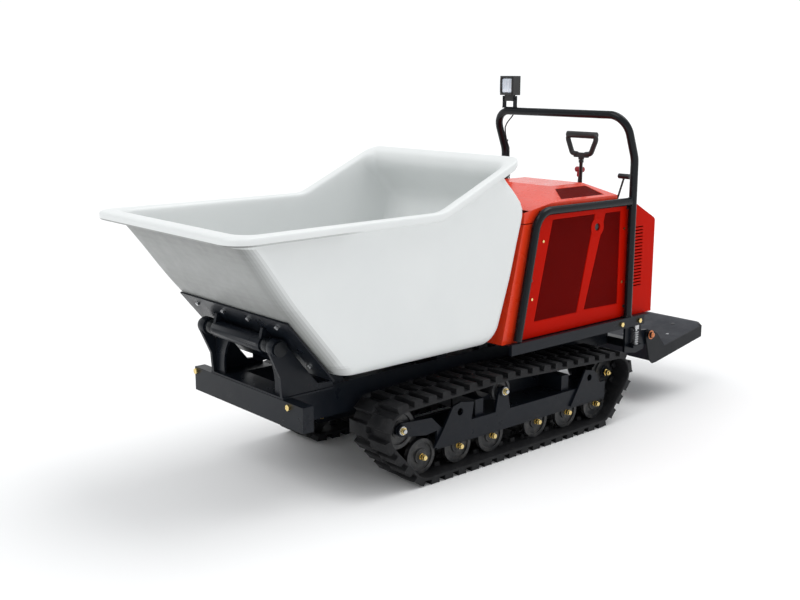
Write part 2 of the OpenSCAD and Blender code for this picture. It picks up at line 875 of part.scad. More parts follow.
module lamp_bracket() {
    color("#1d1f21") {
        block([top_bar_x - 14, lamp_y - 40, rail_top_z + rail_r - 3],
              [top_bar_x + 14, lamp_y + 40, rail_top_z + rail_r + 2]);
        for (y = [lamp_y - 40, lamp_y + 34])
            difference() {
                block([top_bar_x - 12, y, rail_top_z + rail_r + 2], [top_bar_x + 12, y + 6, 1542]);
                y_rod(5, y - 1, y + 7, lamp_pivot);
            }
        y_rod(5, lamp_y - 46, lamp_y + 46, lamp_pivot);
    }
}

module work_lamp() {
    color("#151718") difference() {
        union() {
            block([top_bar_x - 28, lamp_y - 46, lamp_z - 46],
                  [top_bar_x + 26, lamp_y + 46, lamp_z + 50]);
            block([top_bar_x - 9, lamp_y - 30, 1516], [top_bar_x + 9, lamp_y + 30, lamp_z - 40]);
        }
        y_rod(5 + axle_fit, lamp_y - 60, lamp_y + 60, lamp_pivot);
        block([top_bar_x + 18, lamp_y - 36, lamp_z - 36],
              [top_bar_x + 27, lamp_y + 36, lamp_z + 40]);
    }
}

module lamp_lens() {
    color("#9fb4c8") block([top_bar_x + 18, lamp_y - 36, lamp_z - 36],
                           [top_bar_x + 23, lamp_y + 36, lamp_z + 40]);
}

// The lamp's lead: out of the foot of the bracket, across the corner and down the post
cable_route = [[-722, -292, 1476], [-722, -300, 1466], [-723, -312, 1450], [-726, -332, 1432],
               [-730, -352, 1416], [-736, -372, 1400], [-744, -390, 1380], [-752, -396, 1350],
               [-764, -397, 1310], [-782, -396, 1270], [-784, -396, 1200], [-784, -394, 1120],
               [-784, -382, 1080], [-784, -370, 1060], [-784, -368, console_z]];

module lamp_cable() {
    color("#101112") {
        swept_bar(cable_route, 3.5, [1, 0, 0.2], 8);
        // clips that hold the lead to the post
        for (at = [[-764, 1310], [-784, 1200], [-784, 1128]])
            block([at[0] - 6, -407, at[1] - 5], [at[0] + 6, -391, at[1] + 5]);
        block([-727, -296, 1462], [-714, -288, 1472]);
    }
}

// ---------------------------------------------------------------- operator step

module platform_mount() {
    top = deck_top_z - 6;
    color("#1b1d1f") both_sides() {
        difference() {
            union() {
                plate_xz([[-812, top], [-812, 305], [-900, 290], [-960, 300], [-1006, 350],
                          [-1010, 380], [-990, 396], [-940, 400], [-930, top]], 372, 384);
                y_rod(22, 372, 386, step_pivot);
            }
            y_rod(12.2, 360, 400, step_pivot);
        }
        block([-905, 384, 330], [-835, 420, 342]);
    }
    color("#9c5a3c") both_sides() {
        y_rod(12, 366, 408, step_pivot);
        y_hex(17, 408, 418, step_pivot);
    }
    color("#1b1d1f") block([-950, -372 + seam, 305], [-900, 372 - seam, 345]);
}

module platform_spring() {
    color("#c9ccce") both_sides() {
        for (k = [0:5])
            translate([-870, 402, 346 + 12 * k]) rotate_extrude() translate([12, 0]) circle(r = 3);
        translate([-870, 402, 342]) cylinder(r = 8, h = 80);
        translate([-870, 402, 422]) cylinder(r = 16, h = deck_top_z - 6 - 422);
    }
}

module platform_step() {
    rear_x = -1515;
    corner = 60;
    cheek = [388, 396];
    side = [[-985, 398], [-1034, 383], [-1066, 362], [-1131, 288], [rear_x + corner, 345],
            [rear_x + corner, 286], [-1060, 215], [-1030, 214], [-1004, 240], [-966, 362],
            [-970, 388]];
    tread = [[-1118, 286], [-1140, 282], [-1490, 344], [rear_x, 346], [rear_x, 338],
             [-1490, 334], [-1140, 272], [-1112, 276]];
    color("#23282e") {
        difference() {
            union() {
                both_sides() plate_xz(side, cheek[0], cheek[1]);
                both_sides() y_rod(24, cheek[0], cheek[1], step_pivot);
            }
            y_rod(12 + axle_fit, -420, 420, step_pivot);
        }
        intersection() {
            plate_xz(tread, -cheek[0], cheek[0]);
            translate([0, 0, 200]) linear_extrude(200)
                polygon([[-1100, cheek[0]], [rear_x + corner, cheek[0]],
                         [rear_x, cheek[0] - corner], [rear_x, corner - cheek[0]],
                         [rear_x + corner, -cheek[0]], [-1100, -cheek[0]]]);
        }
        // rear flange, mitred into the cheeks
        translate([0, 0, 286]) linear_extrude(59)
            polygon([[rear_x + corner, cheek[1]], [rear_x, cheek[1] - corner],
                     [rear_x, corner - cheek[1]], [rear_x + corner, -cheek[1]],
                     [rear_x + corner, -cheek[0]], [rear_x + 7, corner - cheek[0]],
                     [rear_x + 7, cheek[0] - corner], [rear_x + corner, cheek[0]]]);
        plate_xz([[-1058, 215], [-1066, 215], [-1122, 280], [-1114, 280]], -cheek[0], cheek[0]);
    }
}

// ---------------------------------------------------------------- levers

travel_pivot = [-895, 940];
dump_pivot = [-929, 930];
parking_pivot = [-894, 945];
loop_foot_z = 1246;

module travel_lever() {
    color("#1a1c1d") difference() {
        union() {
            y_rod(16, -20, 20, travel_pivot);
            translate([travel_pivot[0], 0, travel_pivot[1]])
                cylinder(r = 9, h = loop_foot_z - 30 - travel_pivot[1]);
            translate([travel_pivot[0], 0, loop_foot_z - 34]) cylinder(r = 13, h = 14);
        }
        y_rod(6 + axle_fit, -30, 30, travel_pivot);
        translate([travel_pivot[0], 0, 1200]) cylinder(r = 5 + axle_fit, h = 60);
    }
}

module travel_handle() {
    half = loop_w / 2;
    grip_z = loop_top_z - 17;
    loop_route = rounded_route(
        [[travel_pivot[0], -26, loop_foot_z + 8], [travel_pivot[0], -60, loop_foot_z + 12],
         [travel_pivot[0], -half + 12, grip_z], [travel_pivot[0], half - 12, grip_z],
         [travel_pivot[0], 60, loop_foot_z + 12], [travel_pivot[0], 26, loop_foot_z + 8]],
        [18, 20, 20, 18], 4);
    color("#161718") {
        translate([travel_pivot[0], 0, 1205]) cylinder(r = 5, h = 40);
        translate([travel_pivot[0], 0, loop_foot_z - 18]) cylinder(r = 15, h = 12);
        block([travel_pivot[0] - 10, -42, loop_foot_z - 8], [travel_pivot[0] + 10, 42, loop_foot_z + 16]);
        swept_bar(loop_route, 13, [1, 0, 0], 12);
        y_rod(17, -half + 20, half - 20, [travel_pivot[0], grip_z]);
    }
}

module dump_lever() {
    color("#a01822") {
        difference() {
            union() {
                y_rod(12, -66, -44, dump_pivot);
                translate([dump_pivot[0], -55, dump_pivot[1]]) rotate([-5, 0, 0])
                    cylinder(r = 6, h = 216);
            }
            y_rod(5 + axle_fit, -80, -30, dump_pivot);
        }
        translate([dump_pivot[0], -55, dump_pivot[1]]) rotate([-5, 0, 0])
            translate([0, 0, 208]) cylinder(r = 9, h = 34);
        translate([dump_pivot[0], -55, 1173]) rotate([-90, 0, 0]) cylinder(r = 11, h = 44);
    }
}

module parking_lever() {
    top = [-912, 262, 1160];
    foot = [parking_pivot[0], 229, 1020];
    color("#161718") {
        difference() {
            union() {
                y_rod(13, 220, 238, parking_pivot);
                swept_bar([[parking_pivot[0], 229, parking_pivot[1]], foot, top], 5, [1, 0, 0], 12);
            }
            y_rod(5 + axle_fit, 200, 250, parking_pivot);
        }
        y_rod(13, 230, 296, [top[0], top[2]]);
    }
}

module frame_bolts() {
    color("#cdb45f") {
        x_hex(13, 1148, 1158, 302, 414);
        x_hex(13, 1148, 1158, -376, 414);
        both_sides() for (x = [-708, -846])
            y_hex(12, deck_rail_y[1], deck_rail_y[1] + 9, [x, 474]);
        // screws of the side panels
        both_sides() for (at = [[-171, 929], [-745, 932], [-745, 673], [-105, 675]])
            y_rod(6, panel_y[1], panel_y[1] + 4, at);
    }
    // pivots of the three levers, held in the console
    color("#6b6f73") {
        y_rod(6, -30, 30, travel_pivot);
        y_rod(5, -80, -32, dump_pivot);
        y_rod(5, 206, 252, parking_pivot);
    }
}

// ---------------------------------------------------------------- nodes

main_rail_left();
main_rail_right();
cross_members();
hinge_uprights();
bumper_beam();
hinge_pin();
engine_deck();
track_frame_left();
track_frame_right();
track_belt_left();
track_belt_right();
wheel_axles();
drive_motors();
handrail_hoop();
side_guards();
front_cowl();
side_panel_left();
side_panel_right();
rear_console();
engine_block();
fuel_tank();
hydraulic_tank();
hydraulic_pump();
muffler();
lamp_bracket();
lamp_cable();
platform_mount();
platform_spring();
frame_bolts();
tub_shell();
tub_cradle();
tub_bolts();
cylinder_barrel();
cylinder_rod();
engine_hood();
platform_step();
travel_lever();
travel_handle();
dump_lever();
parking_lever();
work_lamp();
lamp_lens();
sprocket_left();
sprocket_right();
idler_left();
idler_right();
carrier_left();
carrier_right();
road_wheel(1, 1);  // wheel_left_1
road_wheel(2, 1);  // wheel_left_2
road_wheel(3, 1);  // wheel_left_3
road_wheel(4, 1);  // wheel_left_4
road_wheel(5, 1);  // wheel_left_5
road_wheel(6, 1);  // wheel_left_6
road_wheel(1, -1);  // wheel_right_1
road_wheel(2, -1);  // wheel_right_2
road_wheel(3, -1);  // wheel_right_3
road_wheel(4, -1);  // wheel_right_4
road_wheel(5, -1);  // wheel_right_5
road_wheel(6, -1);  // wheel_right_6
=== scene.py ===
"""Looks of the rubber-tracked power wheelbarrow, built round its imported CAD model."""

import json
import math

import bmesh
import bpy
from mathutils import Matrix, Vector


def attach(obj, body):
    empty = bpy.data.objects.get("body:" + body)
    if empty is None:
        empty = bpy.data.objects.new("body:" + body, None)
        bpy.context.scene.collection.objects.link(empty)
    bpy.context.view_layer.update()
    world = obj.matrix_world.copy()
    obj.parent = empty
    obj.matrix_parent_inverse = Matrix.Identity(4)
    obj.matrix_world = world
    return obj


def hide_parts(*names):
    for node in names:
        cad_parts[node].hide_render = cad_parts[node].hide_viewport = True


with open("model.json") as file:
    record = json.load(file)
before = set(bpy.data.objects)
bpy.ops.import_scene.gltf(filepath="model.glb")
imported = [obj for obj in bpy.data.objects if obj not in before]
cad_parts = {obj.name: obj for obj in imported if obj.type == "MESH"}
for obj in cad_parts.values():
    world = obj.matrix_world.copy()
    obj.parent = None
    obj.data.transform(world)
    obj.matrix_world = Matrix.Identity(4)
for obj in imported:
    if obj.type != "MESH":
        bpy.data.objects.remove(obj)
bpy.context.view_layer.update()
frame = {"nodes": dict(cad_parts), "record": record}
NODES = frame["nodes"]

# ------------------------------------------------------------------ camera

CAM_AT = Vector((3.416, 3.553, 1.677))
CAM_YAW = math.radians(228.97)
CAM_PITCH = math.radians(-12.08)
CAM_LENS = 48.6


def add_camera():
    data = bpy.data.cameras.new("camera")
    data.lens = CAM_LENS
    data.sensor_width = 36
    data.clip_end = 200
    cam = bpy.data.objects.new("camera", data)
    bpy.context.scene.collection.objects.link(cam)
    look = Vector((math.cos(CAM_YAW) * math.cos(CAM_PITCH),
                   math.sin(CAM_YAW) * math.cos(CAM_PITCH), math.sin(CAM_PITCH)))
    cam.location = CAM_AT
    cam.rotation_euler = look.to_track_quat("-Z", "Y").to_euler()
    bpy.context.scene.camera = cam


add_camera()

# ------------------------------------------------------------------ materials


class Nodes:
    """Small helper that adds nodes to one material's tree."""

    def __init__(self, name):
        self.mat = bpy.data.materials.new(name)
        self.mat.use_nodes = True
        self.tree = self.mat.node_tree
        self.bsdf = self.tree.nodes["Principled BSDF"]
        coord = self.tree.nodes.new("ShaderNodeTexCoord")
        self.at = coord.outputs["Object"]

    def link(self, a, b):
        self.tree.links.new(a, b)

    def set(self, **values):
        for key, value in values.items():
            self.bsdf.inputs[key.replace("_", " ")].default_value = value

    def noise(self, scale, detail=3.0, rough=0.55, stretch=None):
        n = self.tree.nodes.new("ShaderNodeTexNoise")
        n.inputs["Scale"].default_value = scale
        n.inputs["Detail"].default_value = detail
        n.inputs["Roughness"].default_value = rough
        source = self.at
        if stretch:
            m = self.tree.nodes.new("ShaderNodeMapping")
            m.inputs["Scale"].default_value = stretch
            self.link(self.at, m.inputs["Vector"])
            source = m.outputs["Vector"]
        self.link(source, n.inputs["Vector"])
        return n.outputs["Fac"]

    def grey(self, fac, low, high, start=0.3, end=0.7):
        m = self.tree.nodes.new("ShaderNodeMapRange")
        m.inputs["From Min"].default_value = start
        m.inputs["From Max"].default_value = end
        m.inputs["To Min"].default_value = low
        m.inputs["To Max"].default_value = high
        self.link(fac, m.inputs["Value"])
        return m.outputs["Result"]

    def mix(self, fac, a, b):
        m = self.tree.nodes.new("ShaderNodeMix")
        m.data_type = "RGBA"
        for value, socket in ((fac, m.inputs["Factor"]), (a, m.inputs[6]), (b, m.inputs[7])):
            if hasattr(value, "is_linked"):
                self.link(value, socket)
            elif isinstance(value, (int, float)):
                socket.default_value = value
            else:
                socket.default_value = (*value, 1)
        return m.outputs[2]

    def math(self, op, a, b):
        m = self.tree.nodes.new("ShaderNodeMath")
        m.operation = op
        for value, socket in ((a, m.inputs[0]), (b, m.inputs[1])):
            if hasattr(value, "is_linked"):
                self.link(value, socket)
            else:
                socket.default_value = value
        return m.outputs[0]

    def axis(self, which):
        s = self.tree.nodes.new("ShaderNodeSeparateXYZ")
        self.link(self.at, s.inputs[0])
        return s.outputs[which]

    def normal_z(self):
        g = self.tree.nodes.new("ShaderNodeNewGeometry")
        s = self.tree.nodes.new("ShaderNodeSeparateXYZ")
        self.link(g.outputs["True Normal"], s.inputs[0])
        return s.outputs[2]

    def bump(self, height, strength, distance):
        b = self.tree.nodes.new("ShaderNodeBump")
        b.inputs["Strength"].default_value = strength
        b.inputs["Distance"].default_value = distance
        self.link(height, b.inputs["Height"])
        self.link(b.outputs["Normal"], self.bsdf.inputs["Normal"])

    def color(self, socket):
        self.link(socket, self.bsdf.inputs["Base Color"])

    def rough(self, socket):
        self.link(socket, self.bsdf.inputs["Roughness"])


def shade(rgb, k):
    return tuple(min(1.0, c * k) for c in rgb)


def paint(name, rgb, rough=0.3, coat=0.35, vary=0.10, peel=0.12, dust=0.0, gloss=0.35):
    """Sprayed paint: slight cloudiness, orange peel and, where asked, pale dust."""
    n = Nodes(name)
    cloud = n.noise(3.5, 4)
    colour = n.mix(n.grey(cloud, 0, 1), shade(rgb, 1 - vary), shade(rgb, 1 + vary))
    if dust:
        speck = n.noise(26, 6, 0.7)
        low = n.grey(n.axis(2), 1.0, 0.15, 0.0, 0.7)
        amount = n.math("MULTIPLY", n.grey(speck, 0.0, dust, 0.46, 0.78), low)
        colour = n.mix(amount, colour, (0.16, 0.15, 0.135))
    n.color(colour)
    n.rough(n.grey(n.noise(14, 4), rough * 0.82, rough * 1.22))
    n.bump(n.noise(420, 2), peel, 0.0006)
    n.set(Coat_Weight=coat, Coat_Roughness=0.12, Specular_IOR_Level=gloss)
    return n.mat


def plastic(name, rgb, rough=0.45, grain=0.15, scale=900, vary=0.05):
    n = Nodes(name)
    n.color(n.mix(n.grey(n.noise(5, 4), 0, 1), shade(rgb, 1 - vary), shade(rgb, 1 + vary)))
    n.rough(n.grey(n.noise(30, 4), rough * 0.88, rough * 1.15))
    n.bump(n.noise(scale, 3), grain, 0.0005)
    return n.mat


def metal(name, rgb, rough=0.28, vary=0.12, scale=120):
    n = Nodes(name)
    grain = n.noise(scale, 5, 0.6)
    n.color(n.mix(n.grey(grain, 0, 1), shade(rgb, 1 - vary), shade(rgb, 1 + vary)))
    n.rough(n.grey(grain, rough * 0.75, rough * 1.35))
    n.bump(grain, 0.06, 0.0004)
    n.set(Metallic=1.0)
    return n.mat


FRONT_SHADE = (0.215, 0.222, 0.215)
FRONT_SHADE_X = (0.93, 1.02)


def tub_plastic():
    """Rotationally moulded polyethylene: soft sheen, faint mottling and fine scratches.

    FRONT_SHADE is shade, not the plastic's colour: it darkens the faces of the front wall
    that look down, because this scene's lights alone leave them too bright. A scene with
    other lights should leave that mix out.
    """
    n = Nodes("tub_polyethylene")
    base = n.mix(n.grey(n.noise(1.6, 5, 0.6), 0, 1), (0.725, 0.745, 0.742), (0.77, 0.788, 0.78))
    scuff = n.noise(9, 8, 0.72, (1, 1, 3.2))
    base = n.mix(n.grey(scuff, 0.0, 0.16, 0.62, 0.8), base, (0.60, 0.61, 0.59))
    underside = n.grey(n.normal_z(), 1.0, 0.0, -0.62, -0.28)
    ahead = n.grey(n.axis(0), 0.0, 1.0, *FRONT_SHADE_X)
    n.color(n.mix(n.math("MULTIPLY", underside, ahead), base, FRONT_SHADE))
    n.rough(n.grey(n.noise(22, 5), 0.30, 0.44))
    fine = n.math("ADD", n.noise(260, 3), n.math("MULTIPLY", n.noise(34, 3), 2.2))
    n.bump(fine, 0.10, 0.0009)
    n.set(Subsurface_Weight=0.0, Specular_IOR_Level=0.55)
    return n.mat


def rubber(name, rgb, rough=0.62, dust=0.5):
    n = Nodes(name)
    speck = n.noise(38, 7, 0.68)
    base = n.mix(n.grey(n.noise(7, 4), 0, 1), shade(rgb, 0.75), shade(rgb, 1.3))
    n.color(n.mix(n.grey(speck, 0.0, dust, 0.5, 0.8), base, (0.105, 0.100, 0.095)))
    n.rough(n.grey(speck, rough * 0.85, rough * 1.25))
    n.bump(n.math("ADD", n.noise(160, 4), n.noise(600, 2)), 0.28, 0.0008)
    n.set(Specular_IOR_Level=0.20)
    return n.mat


def perforated(name, rgb, dark, pitch, across, up):
    """Sheet with staggered round holes drawn as dots of painted shade (the colour dark); across and up
    pick the two axes of the sheet.
    """
    n = Nodes(name)

    def dots(shift):
        c = n.tree.nodes.new("ShaderNodeCombineXYZ")
        for k, ax in enumerate((across, up)):
            moved = n.math("ADD", n.math("DIVIDE", n.axis(ax), pitch), shift)
            n.link(moved, c.inputs[k])
        v = n.tree.nodes.new("ShaderNodeTexVoronoi")
        v.voronoi_dimensions = "2D"
        v.inputs["Scale"].default_value = 1.0
        v.inputs["Randomness"].default_value = 0.0
        n.link(c.outputs[0], v.inputs["Vector"])
        return v.outputs["Distance"]

    near = n.math("MINIMUM", dots(0.0), dots(0.5))
    solid = n.grey(near, 0.0, 1.0, 0.24, 0.30)
    body = n.mix(n.grey(n.noise(4, 4), 0, 1), shade(rgb, 0.9), shade(rgb, 1.08))
    # painted shade: the holes are coloured dark, for the shade seen through real holes
    n.color(n.mix(solid, dark, body))
    n.rough(n.grey(solid, 0.8, 0.45, 0, 1))
    n.bump(solid, 0.7, 0.0012)
    n.set(Specular_IOR_Level=0.02)
    return n.mat


def glass_lens():
    n = Nodes("lamp_lens_glass")
    ribs = n.noise(140, 2, 0.4, (1, 1, 0.15))
    n.color(n.mix(n.grey(ribs, 0, 1), (0.50, 0.58, 0.68), (0.82, 0.88, 0.95)))
    n.rough(n.grey(ribs, 0.05, 0.16))
    n.bump(ribs, 0.35, 0.002)
    n.set(Metallic=0.35, Coat_Weight=1.0, Coat_Roughness=0.03)
    return n.mat


def step_two_tone():
    """Satin slate tread between side plates that are nearly black."""
    n = Nodes("step_paint")
    side = n.grey(n.math("ABSOLUTE", n.axis(1), 0.0), 0.0, 1.0, 0.3868, 0.3880)
    cloud = n.grey(n.noise(9, 5), 0.0, 1.0)
    tread = n.mix(cloud, (0.017, 0.020, 0.028), (0.024, 0.028, 0.037))
    dust = n.grey(n.noise(34, 7, 0.7), 0.0, 0.14, 0.50, 0.80)
    tread = n.mix(dust, tread, (0.11, 0.11, 0.12))
    n.color(n.mix(side, tread, (0.0085, 0.0100, 0.0125)))
    n.rough(n.grey(n.noise(14, 4), 0.34, 0.50))
    n.bump(n.noise(420, 2), 0.12, 0.0006)
    n.set(Specular_IOR_Level=0.16)
    return n.mat


def dump_lever():
    """Black rod up to the red grip."""
    n = Nodes("dump_lever_paint")
    up = n.grey(n.axis(2), 0.0, 1.0, 1.136, 1.138)
    red = n.mix(n.grey(n.noise(12, 4), 0, 1), (0.33, 0.010, 0.020), (0.40, 0.014, 0.024))
    n.color(n.mix(up, (0.012, 0.012, 0.013), red))
    n.rough(n.grey(n.noise(30, 4), 0.27, 0.37))
    n.bump(n.noise(700, 2), 0.08, 0.0004)
    return n.mat


ORANGE = (0.74, 0.042, 0.010)
RED = (0.47, 0.0060, 0.0006)
BLACK = (0.010, 0.011, 0.013)

MATS = {
    "frame_black": paint("frame_paint", (0.0060, 0.0080, 0.012), 0.31, 0.05, 0.15, 0.10, 0.05, 0.15),
    "pin_steel": metal("pin_metal", (0.50, 0.51, 0.52), 0.30),
    "bolt_zinc": metal("zinc_metal", (0.80, 0.62, 0.26), 0.24, 0.22, 60),
    "belt_rubber": rubber("belt_rubber", (0.0085, 0.0088, 0.0100), 0.55, 0.16),
    "hood_orange": paint("hood_paint", ORANGE, 0.26, 0.22, 0.05, 0.08, 0.0, 0.20),
    "panel_red": paint("panel_paint", RED, 0.36, 0.0, 0.05, 0.08, 0.0, 0.03),
    "engine_grey": metal("engine_metal", (0.32, 0.33, 0.34), 0.55, 0.2, 40),
    "tank_black": plastic("tank_plastic", (0.03, 0.03, 0.032)),
    "muffler_steel": metal("muffler_metal", (0.30, 0.26, 0.21), 0.45, 0.3, 18),
    "lead_black": plastic("lead_rubber", (0.012, 0.012, 0.013), 0.5),
    "tub_white": tub_plastic(),
    "rod_chrome": metal("rod_metal", (0.78, 0.79, 0.80), 0.08, 0.03),
    "lever_black": paint("lever_paint", BLACK, 0.35, 0.2, 0.1, 0.1),
    "grip_black": plastic("grip_rubber", (0.011, 0.011, 0.012), 0.48, 0.3, 700),
    "lever_red": plastic("lever_red_plastic", (0.36, 0.012, 0.022), 0.30, 0.1),
    "lamp_black": plastic("lamp_plastic", (0.012, 0.013, 0.014), 0.40),
    "lens_glass": glass_lens(),
    "wheel_black": paint("wheel_paint", (0.012, 0.013, 0.015), 0.42, 0.15, 0.2, 0.1, 0.45),
    "tube_black": paint("tube_paint", (0.0060, 0.0075, 0.0095), 0.24, 0.12, 0.08, 0.06, 0.0, 0.14),
    # the second colour of each perforated sheet is painted shade in its holes
    "panel_mesh": perforated("panel_mesh", (0.225, 0.0016, 0.0005), (0.006, 0.002, 0.002), 0.0055, 0, 2),
    "hood_mesh": perforated("hood_mesh", (0.210, 0.0030, 0.0008), (0.006, 0.002, 0.002), 0.0070, 0, 1),
    "step_two_tone": step_two_tone(),
    "dump_lever": dump_lever(),
    "label_pale": plastic("label_film", (0.62, 0.64, 0.62), 0.35, 0.03, 300),
    "copper": metal("copper_metal", (0.55, 0.20, 0.09), 0.30, 0.15),
    "steel_bright": metal("bright_metal", (0.46, 0.47, 0.48), 0.24, 0.10),
}


def dress(obj, slot):
    obj.data.materials.clear()
    obj.data.materials.append(MATS[slot])


# nodes whose look isn't simply that of their slot
NODE_LOOKS = {"hinge_pin": "tube_black", "dump_lever": "dump_lever",
              "platform_step": "step_two_tone"}


def paint_nodes():
    """Every CAD node gets the material of its slot in the record, or its own look."""
    for part in frame["record"]["subparts"]:
        node = NODES[part["node"]]
        slot = NODE_LOOKS.get(part["node"], part["material_slot"])
        if not node.data.materials:
            node.data.materials.append(MATS[slot])
        for k in range(len(node.data.materials)):
            node.data.materials[k] = MATS[slot]


def soften_nodes():
    """Small rounded edges on the CAD solids, as modifiers; the meshes stay as they are."""
    for node in NODES.values():
        weld = node.modifiers.new("weld", "WELD")
        weld.merge_threshold = 0.00002
        bevel = node.modifiers.new("bevel", "BEVEL")
        bevel.width = 0.0012
        bevel.segments = 2
        bevel.limit_method = "ANGLE"
        bevel.angle_limit = math.radians(38)
        bevel.harden_normals = False
        bevel.use_clamp_overlap = True


# ------------------------------------------------------------------ mesh helpers


def add_mesh(name, verts, faces, body, slot, smooth=38):
    mesh = bpy.data.meshes.new(name)
    mesh.from_pydata([tuple(v) for v in verts], [], faces)
    mesh.validate()
    bm = bmesh.new()
    bm.from_mesh(mesh)
    bmesh.ops.recalc_face_normals(bm, faces=bm.faces)
    bm.to_mesh(mesh)
    bm.free()
    mesh.polygons.foreach_set("use_smooth", [True] * len(mesh.polygons))
    mesh.set_sharp_from_angle(angle=math.radians(smooth))
    obj = bpy.data.objects.new(name, mesh)
    bpy.context.scene.collection.objects.link(obj)
    dress(obj, slot)
    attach(obj, body)
    return obj


class Build:
    """Collects vertices and faces for one piece."""

    def __init__(self):
        self.v = []
        self.f = []

    def ring_stack(self, rings, cap_first=False, cap_last=False):
        base = len(self.v)
        n = len(rings[0])
        for ring in rings:
            self.v.extend(ring)
        for i in range(len(rings) - 1):
            for k in range(n):
                a = base + i * n + k
                b = base + i * n + (k + 1) % n
                self.f.append((a, b, b + n, a + n))
        if cap_first:
            self.f.append(tuple(base + k for k in reversed(range(n))))
        if cap_last:
            last = base + (len(rings) - 1) * n
            self.f.append(tuple(last + k for k in range(n)))

    def add(self, name, body, slot, smooth=38):
        return add_mesh(name, self.v, self.f, body, slot, smooth)


def rounded_route(points, radii, steps=8):
    """A route with its inner corners rounded, as in the CAD source."""
    pts = [Vector(p) for p in points]
    out = [pts[0]]
    for i, r in enumerate(radii):
        a, b, c = pts[i], pts[i + 1], pts[i + 2]
        u, v = (a - b).normalized(), (c - b).normalized()
        opening = u.angle(v)
        reach = r / math.tan(opening / 2)
        mid = b + (u + v).normalized() * (r / math.sin(opening / 2))
        p, q = b + u * reach - mid, b + v * reach - mid
        turn = math.pi - opening
        for k in range(steps + 1):
            t = k / steps
            w = (math.sin((1 - t) * turn) * p + math.sin(t * turn) * q) / math.sin(turn)
            out.append(mid + w)
    out.append(pts[-1])
    return out


def tube_rings(route, radius, ref, sides=28):
    rings = []
    ref = Vector(ref)
    last = len(route) - 1
    for i, p in enumerate(route):
        t = (route[min(i + 1, last)] - route[max(i - 1, 0)]).normalized()
        m = ref.cross(t).normalized()
        n = t.cross(m)
        r = radius(i / last) if callable(radius) else radius
        rings.append([p + r * (math.cos(a) * m + math.sin(a) * n)
                      for a in (2 * math.pi * k / sides for k in range(sides))])
    return rings


# ------------------------------------------------------------------ tub

FLOOR_Z = 0.513
FLOOR_FRONT_X = 0.991
FRONT_SLOPE = 1.2078
WALL_FRONT_Z = 1.078
WALL_REAR_Z = 1.250
WALL_DEPTH = WALL_FRONT_Z - FLOOR_Z
WALL_THICKNESS = 0.010
EDGE_FILLET = 0.060
WALL_TUCK = 0.022
HALF_FLOOR = 0.430
# half widths at the front, the kink and the rear
HALF_WALL = (0.466, 0.446, 0.448)
HALF_RIM = (0.5272, 0.490, 0.490)
TUB_RIM_Z = 1.124
TUB_BACK_Z = 1.312
KINK_X = 0.513
RISE = (TUB_BACK_Z - TUB_RIM_Z) / (KINK_X - 0.090)
# (height, x) of the rear wall, from the floor up over its bulge
REAR_WALL = [(0.513, 0.127), (0.60, 0.0925), (0.748, 0.060), (0.960, 0.011), (1.040, -0.010),
             (1.078, -0.0165), (1.105, -0.010), (1.130, 0.008), (1.186, 0.062), (1.222, 0.097),
             (1.250, 0.118)]


def lerp(a, b, t):
    return a + (b - a) * t


def along(table, z):
    for (z0, x0), (z1, x1) in zip(table, table[1:]):
        if z <= z1:
            return lerp(x0, x1, (z - z0) / (z1 - z0))
    return table[-1][1]


def rise_at(x):
    """Height of the rim above its front level, with the bend at the kink eased."""
    d = KINK_X - x
    ease = 0.035
    if d < -ease:
        return 0.0
    if d < ease:
        return RISE * (d + ease) ** 2 / (4 * ease)
    return RISE * d


def plan_loop(z_front, z_rear, x_front, x_rear, halves, r_front, r_rear):
    """One closed loop round the tub; halves are its half widths at front, kink and rear."""
    half_front, half_kink, half_rear = halves
    arc = 9
    flat = 12
    left = []

    def side_z(x):
        share = rise_at(x) / (RISE * (KINK_X - 0.125))
        return lerp(z_front, z_rear, min(1.0, share))

    for k in range(1, arc + 1):
        a = 0.5 * math.pi * k / arc
        left.append((x_front - r_front * (1 - math.cos(a)),
                     half_front - r_front * (1 - math.sin(a)), z_front))
    end_x = x_rear + r_rear
    side_x = [lerp(x_front - r_front, KINK_X, k / 10) for k in range(1, 9)]
    side_x += [KINK_X + 0.045, KINK_X + 0.02, KINK_X, KINK_X - 0.02, KINK_X - 0.045]
    side_x += [lerp(KINK_X - 0.045, end_x, k / 7) for k in range(1, 7)]
    for x in side_x:
        if x > KINK_X:
            half = lerp(half_kink, half_front, (x - KINK_X) / (x_front - KINK_X))
        else:
            half = lerp(half_kink, half_rear, (KINK_X - x) / (KINK_X - x_rear))
        left.append((x, half, side_z(x)))
    z_corner = side_z(end_x)
    for k in range(arc + 1):
        a = 0.5 * math.pi * k / arc
        left.append((x_rear + r_rear * (1 - math.sin(a)),
                     half_rear - r_rear * (1 - math.cos(a)),
                     lerp(z_corner, z_rear, math.sin(a) ** 2)))
    edge = half_front - r_front
    front = [(x_front, lerp(-edge, edge, k / flat), z_front) for k in range(flat + 1)]
    edge = half_rear - r_rear
    rear = [(x_rear, lerp(edge, -edge, k / flat), z_rear) for k in range(1, flat)]
    right = [(x, -y, z) for x, y, z in reversed(left)]
    return front + left + rear + right


def tub_loop(t, inset):
    """The tub's wall at share t of its height; inset moves it inwards."""
    z_front = lerp(FLOOR_Z + inset, WALL_FRONT_Z, t)
    z_rear = lerp(FLOOR_Z + inset, WALL_REAR_Z, t)
    tuck = WALL_TUCK * smooth_share(z_front, 0.80, WALL_FRONT_Z)
    x_front = FLOOR_FRONT_X + (z_front - FLOOR_Z) / FRONT_SLOPE - inset / 0.770 - tuck
    x_rear = along(REAR_WALL, z_rear) + inset
    halves = [lerp(HALF_FLOOR, top, t) - inset for top in HALF_WALL]
    r_front = lerp(0.095, 0.072, t) - 0.6 * inset
    r_rear = lerp(0.085, 0.056, smooth_share(t, 0.05, 0.45)) - 0.6 * inset
    return plan_loop(z_front, z_rear, x_front, x_rear, halves, r_front, r_rear)


